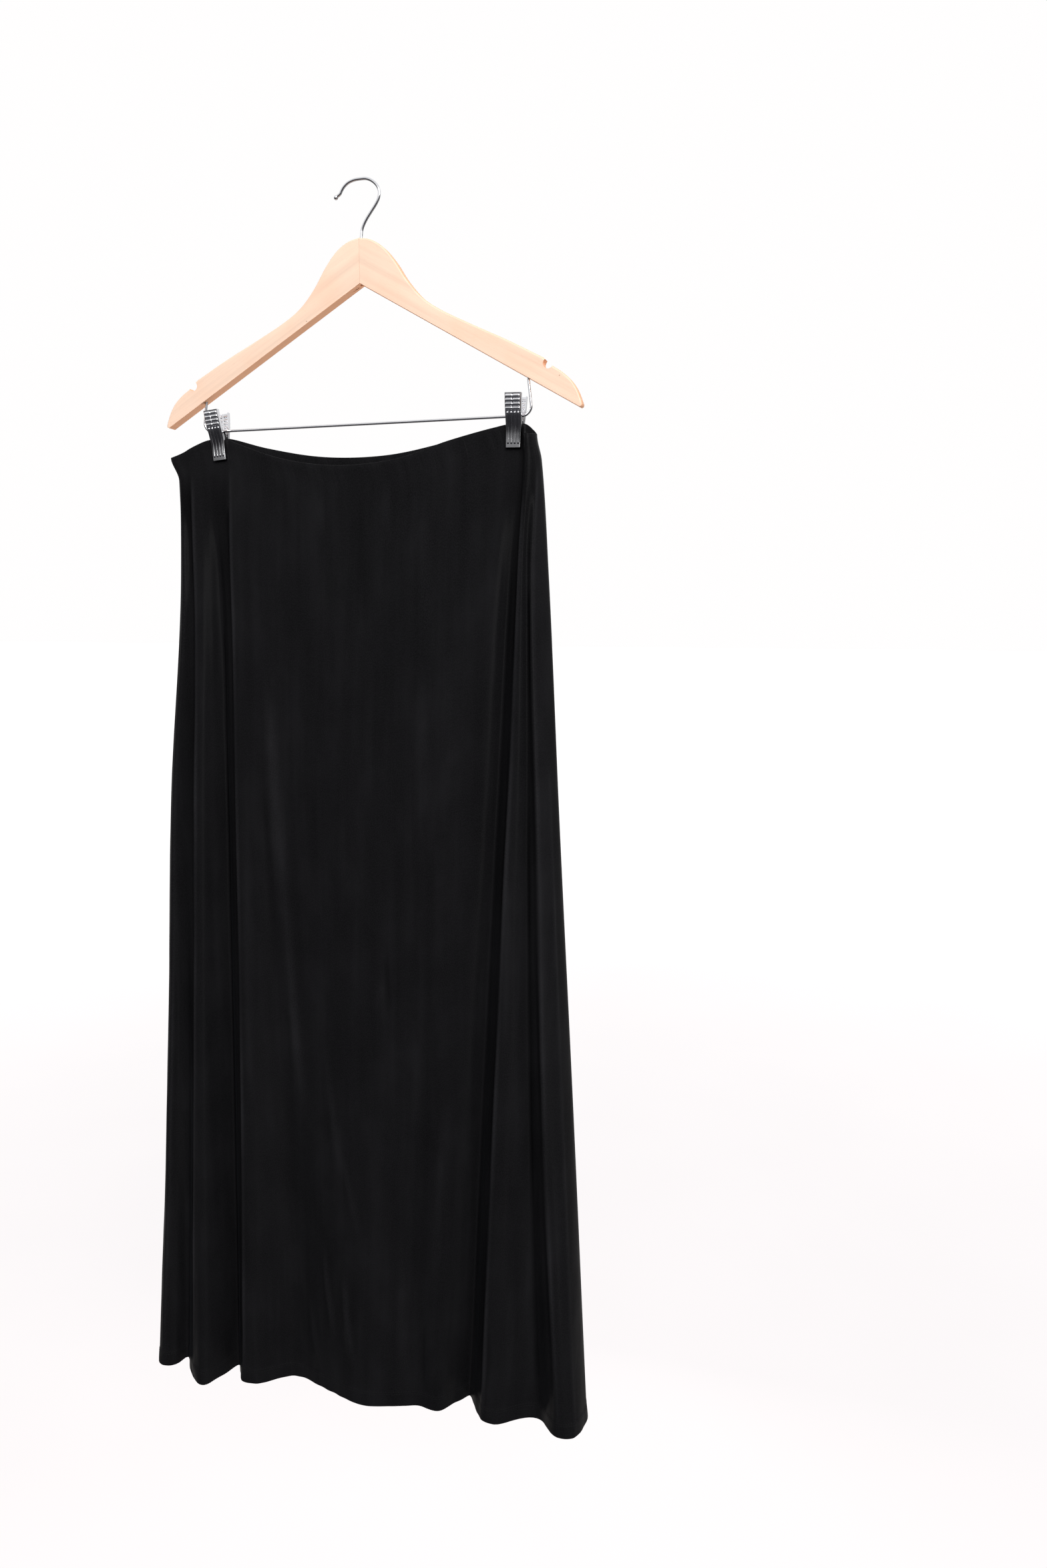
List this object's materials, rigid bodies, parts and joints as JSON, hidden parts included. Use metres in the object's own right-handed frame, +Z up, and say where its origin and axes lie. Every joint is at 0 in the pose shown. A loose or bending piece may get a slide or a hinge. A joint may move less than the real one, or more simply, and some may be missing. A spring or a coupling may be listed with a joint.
{
  "type": "maxi skirt on a clip hanger",
  "caption": "Long black stretch-knit maxi skirt with a turned waist edge and hem, hanging in soft folds from a wooden trouser hanger with a wire bar, spring clips and a hook.",
  "frame": {"origin": "the top of the hook's inner curve, where it rests on what holds it up", "axes": "+Z up along the hook's stem, +X to the right of the skirt's front as it is seen, -Y out of the front"},
  "size_m": [0.5368, 0.0751, 1.3305],
  "materials": {
    "knit": "soft sheen",
    "wood": "lacquered",
    "chrome": "polished",
    "rubber": "matt"
  },
  "bodies": {
    "root": {"skirt_front": "knit", "skirt_back": "knit", "hanger_arm_left": "wood", "hanger_arm_right": "wood", "hook": "chrome", "clip_bar": "chrome", "clip_left_front_jaw": "chrome", "clip_left_back_jaw": "chrome", "clip_left_spring": "chrome", "clip_left_front_pad": "rubber", "clip_left_back_pad": "rubber", "clip_right_front_jaw": "chrome", "clip_right_back_jaw": "chrome", "clip_right_spring": "chrome", "clip_right_front_pad": "rubber", "clip_right_back_pad": "rubber"}
  },
  "joints": []
}
